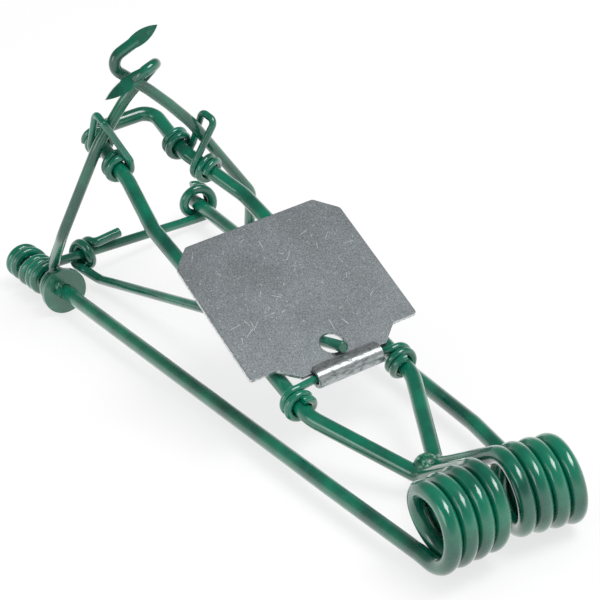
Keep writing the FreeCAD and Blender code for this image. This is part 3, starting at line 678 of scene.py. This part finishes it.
# the rod's cut end has a burr round it, left by the shears: the end is the rod's rearmost
# and highest place, and its faces there look to the rear
rod_mesh = frame["nodes"]["trigger_rod"].data
rearmost = max((vert.co for vert in rod_mesh.vertices), key=lambda co: co.x + 0.5 * co.z)
cut_faces = [face for face in rod_mesh.polygons
             if (face.center - rearmost).length < ROD_WIRE and face.normal.x > 0.85]
cut_way = sum((face.normal * face.area for face in cut_faces), Vector()).normalized()
cut_middle = sum((face.center * face.area for face in cut_faces), Vector())
cut_middle = cut_middle / sum(face.area for face in cut_faces)
burr = wound_ring({"Ring Radius": ROD_WIRE * BURR_SHARE, "Wire Radius": BURR_WIRE}, washer_coating)
facing = cut_way.to_track_quat("Z", "Y").to_matrix().to_4x4()
burr.transform(Matrix.Translation(cut_middle) @ facing)
piece("rod_end_burr", burr, "rod", [washer_coating])

# drops of spatter lie round the weld bead, of uneven size and height
bead_low, bead_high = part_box("weld_bead")
bead = (Vector(bead_low) + Vector(bead_high)) / 2
spatter = bmesh.new()
for k in range(SPATTER_DROPS):
    a = math.radians(360 / SPATTER_DROPS * k + 15)
    lift = 0.55 + 0.3 * math.sin(2.3 * k)
    way = Vector((math.cos(a), math.sin(a), lift)).normalized()
    size = (0.42 + 0.12 * math.sin(1.7 * k)) * MM
    lump(spatter, bead + way * SPATTER_OUT, size, way, SPATTER_STRETCH, float(k))
piece("weld_spatter", spatter, "upper_frame", [weld_coating])

# ------------------------------------------------------------------ floor, light, camera
# the floor touches the object's lowest points, under the washers and under the coils
REST_FRONT = Vector((-124.0, 0.0, -11.16)) * MM
REST_REAR = Vector((0.0, 0.0, -9.72)) * MM
FLOOR_HALF = 4
slope = math.atan2(REST_REAR.z - REST_FRONT.z, REST_REAR.x - REST_FRONT.x)
floor_build = bmesh.new()
for x, y in ((-1, -1), (1, -1), (1, 1), (-1, 1)):
    floor_build.verts.new((x * FLOOR_HALF, y * FLOOR_HALF, 0))
floor_build.faces.new(floor_build.verts[:])
floor_mesh = bpy.data.meshes.new("paper_floor")
floor_build.to_mesh(floor_mesh)
floor_build.free()
floor = bpy.data.objects.new("paper_floor", floor_mesh)
bpy.context.scene.collection.objects.link(floor)
floor.location = REST_REAR
floor.rotation_euler = (0, -slope, 0)
floor_mesh.materials.append(matt_paper("seamless_white_paper"))


def softbox(name, place, width, height, power):
    """A rectangular studio light that faces the object's middle."""
    lamp = bpy.data.lights.new(name, "AREA")
    lamp.shape = "RECTANGLE"
    lamp.size = width
    lamp.size_y = height
    lamp.energy = power
    thing = bpy.data.objects.new(name, lamp)
    bpy.context.scene.collection.objects.link(thing)
    thing.location = place
    thing.rotation_euler = (MIDDLE - place).to_track_quat("-Z", "Y").to_euler()


MIDDLE = Vector((-0.07, 0.0, 0.01))
softbox("overhead_softbox", MIDDLE + Vector((0.35, 0.25, 0.75)), width=0.5, height=0.34, power=4.2)
softbox("side_fill", MIDDLE + Vector((0.1, -0.9, 0.35)), width=0.5, height=0.4, power=1.5)

# the room: plain light on matt surfaces, a white lower half and a dim ceiling in glossy ones,
# and white behind the object
world = bpy.data.worlds.new("studio")
bpy.context.scene.world = world
world.use_nodes = True
sky = world.node_tree
sky.nodes.clear()
ways = add(sky, "ShaderNodeTexCoord").outputs["Generated"]
height = add(sky, "ShaderNodeSeparateXYZ", None, {"Vector": ways}).outputs["Z"]
height_share = add(sky, "ShaderNodeMapRange", None,
                   {"Value": height, "From Min": -1.0, "From Max": 1.0}).outputs["Result"]
room = shades(add(sky, "ShaderNodeValToRGB", None, {"Fac": height_share}),
              [(0.0, grey(1.0)), (0.53, grey(1.0)), (0.68, grey(0.3)), (0.85, grey(0.1))])
seen = add(sky, "ShaderNodeLightPath")
ambient = add(sky, "ShaderNodeBackground", None, {"Color": grey(1.0), "Strength": 0.72})
mirrored = add(sky, "ShaderNodeBackground", None, {"Color": room, "Strength": 1.0})
backdrop = add(sky, "ShaderNodeBackground", None, {"Color": grey(1.0), "Strength": 1.0})
shiny = add(sky, "ShaderNodeMath", {"operation": "MAXIMUM"},
            {0: seen.outputs["Is Glossy Ray"], 1: seen.outputs["Is Transmission Ray"]}).outputs[0]
first = add(sky, "ShaderNodeMixShader", None,
            {"Fac": shiny, 1: ambient.outputs["Background"], 2: mirrored.outputs["Background"]})
second = add(sky, "ShaderNodeMixShader", None,
             {"Fac": seen.outputs["Is Camera Ray"], 1: first.outputs["Shader"],
              2: backdrop.outputs["Background"]})
add(sky, "ShaderNodeOutputWorld", None, {"Surface": second.outputs["Shader"]})

# the camera: its place in millimetres, and its axes from azimuth, elevation and roll
CAMERA_PLACE = Vector((222.57, -138.95, 181.99)) * MM
FOCAL_LENGTH = 122.69
SENSOR_WIDTH = 36.0
AZIMUTH = math.radians(26.37)
ELEVATION = math.radians(28.62)
ROLL = math.radians(-8.41)
away = Vector((math.cos(ELEVATION) * math.cos(AZIMUTH), -math.cos(ELEVATION) * math.sin(AZIMUTH),
               math.sin(ELEVATION)))
right = (-away).cross(Vector((0, 0, 1))).normalized()
upward = right.cross(-away)
cam_x = right * math.cos(ROLL) + upward * math.sin(ROLL)
cam_y = upward * math.cos(ROLL) - right * math.sin(ROLL)
lens = bpy.data.cameras.new("camera")
lens.sensor_width = SENSOR_WIDTH
lens.lens = FOCAL_LENGTH
lens.clip_start = 10 * MM
camera = bpy.data.objects.new("camera", lens)
bpy.context.scene.collection.objects.link(camera)
camera.matrix_world = Matrix((
    (cam_x.x, cam_y.x, away.x, CAMERA_PLACE.x),
    (cam_x.y, cam_y.y, away.y, CAMERA_PLACE.y),
    (cam_x.z, cam_y.z, away.z, CAMERA_PLACE.z),
    (0, 0, 0, 1)))
bpy.context.scene.camera = camera
bpy.context.scene.view_settings.view_transform = "Standard"
